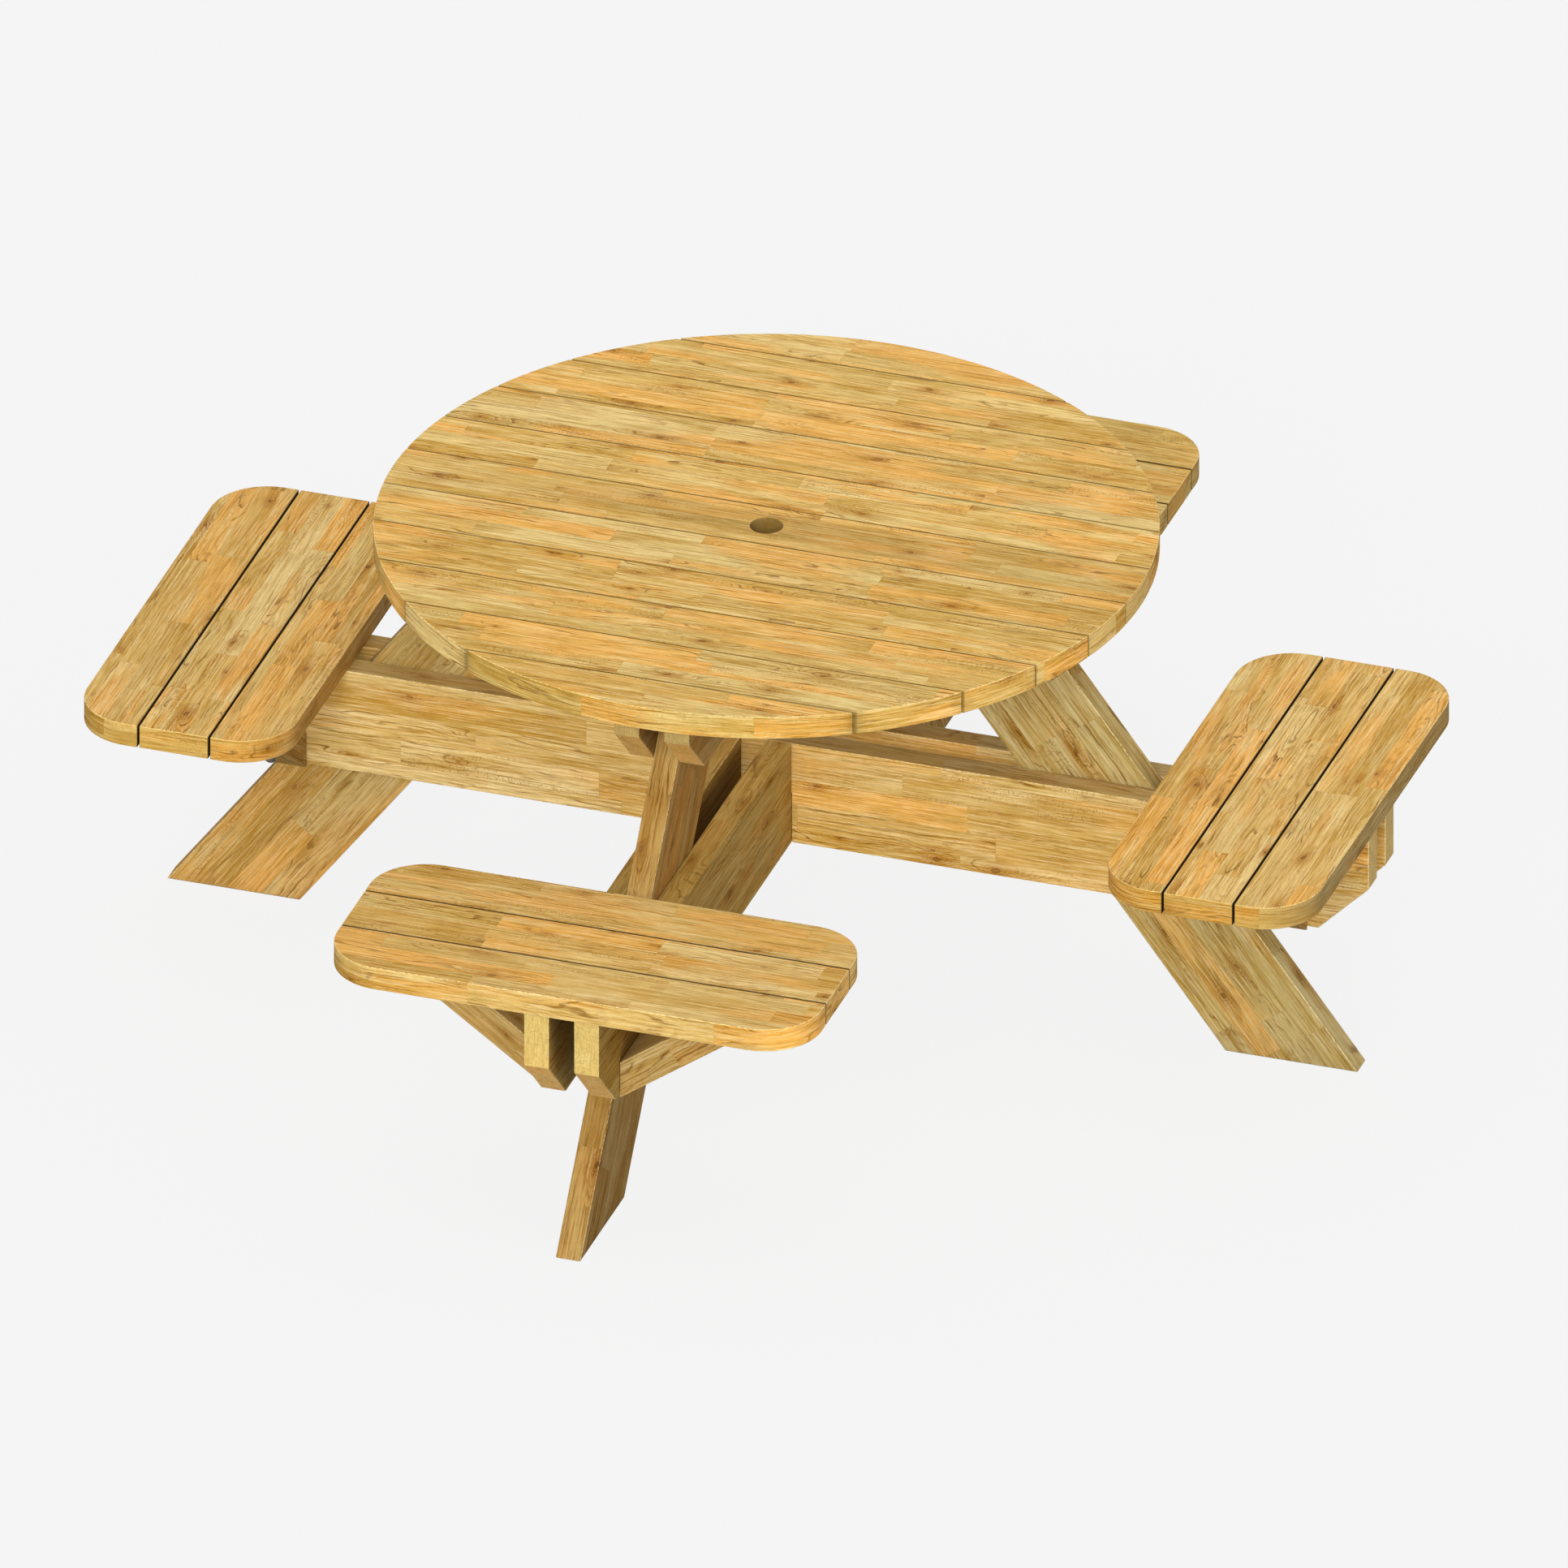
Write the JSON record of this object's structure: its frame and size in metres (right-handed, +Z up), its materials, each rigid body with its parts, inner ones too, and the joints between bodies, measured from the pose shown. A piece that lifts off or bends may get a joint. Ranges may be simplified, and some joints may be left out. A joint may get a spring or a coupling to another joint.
{
  "type": "picnic table",
  "caption": "Round timber picnic table with a parasol hole and bench seats on all sides, carried on a crossed frame of rails, bearers and raking legs.",
  "frame": {"origin": "on the floor under the centre of the round table top (axis of the parasol hole)", "axes": "+Z up; top boards run along X; seats face -Y (front), +X (right), +Y (back), -X (left)"},
  "size_m": [1.972, 1.972, 0.771],
  "materials": {
    "top_timber": "planed, finger-jointed lamellae, clear satin oil",
    "seat_timber": "planed, finger-jointed lamellae, clear satin oil",
    "frame_timber": "planed, finger-jointed lamellae, clear satin oil",
    "zinc_screws": "zinc plated"
  },
  "bodies": {
    "root": {"top_board_01": "top_timber", "top_board_02": "top_timber", "top_board_03": "top_timber", "top_board_04": "top_timber", "top_board_05": "top_timber", "top_board_06": "top_timber", "top_board_07": "top_timber", "top_board_08": "top_timber", "top_board_09": "top_timber", "top_board_10": "top_timber", "top_board_11": "top_timber", "bearer_x_front": "frame_timber", "bearer_x_back": "frame_timber", "bearer_y_left": "frame_timber", "bearer_y_right": "frame_timber", "rail_x_front": "frame_timber", "rail_x_back": "frame_timber", "rail_y_left": "frame_timber", "rail_y_right": "frame_timber", "leg_front": "frame_timber", "leg_right": "frame_timber", "leg_back": "frame_timber", "leg_left": "frame_timber", "seat_front_board_inner": "seat_timber", "seat_front_board_middle": "seat_timber", "seat_front_board_outer": "seat_timber", "seat_right_board_inner": "seat_timber", "seat_right_board_middle": "seat_timber", "seat_right_board_outer": "seat_timber", "seat_back_board_inner": "seat_timber", "seat_back_board_middle": "seat_timber", "seat_back_board_outer": "seat_timber", "seat_left_board_inner": "seat_timber", "seat_left_board_middle": "seat_timber", "seat_left_board_outer": "seat_timber", "brace_front_left": "frame_timber", "brace_front_right": "frame_timber", "brace_right_front": "frame_timber", "brace_right_back": "frame_timber", "brace_back_left": "frame_timber", "brace_back_right": "frame_timber", "brace_left_front": "frame_timber", "brace_left_back": "frame_timber", "leg_rail_screws": "zinc_screws", "leg_bearer_screws": "zinc_screws", "top_board_screws": "zinc_screws", "top_end_screws": "zinc_screws", "seat_board_screws": "zinc_screws", "brace_heel_screws": "zinc_screws", "brace_cap_screws": "zinc_screws", "rail_joint_screws": "zinc_screws", "bearer_joint_screws": "zinc_screws"}
  },
  "joints": []
}
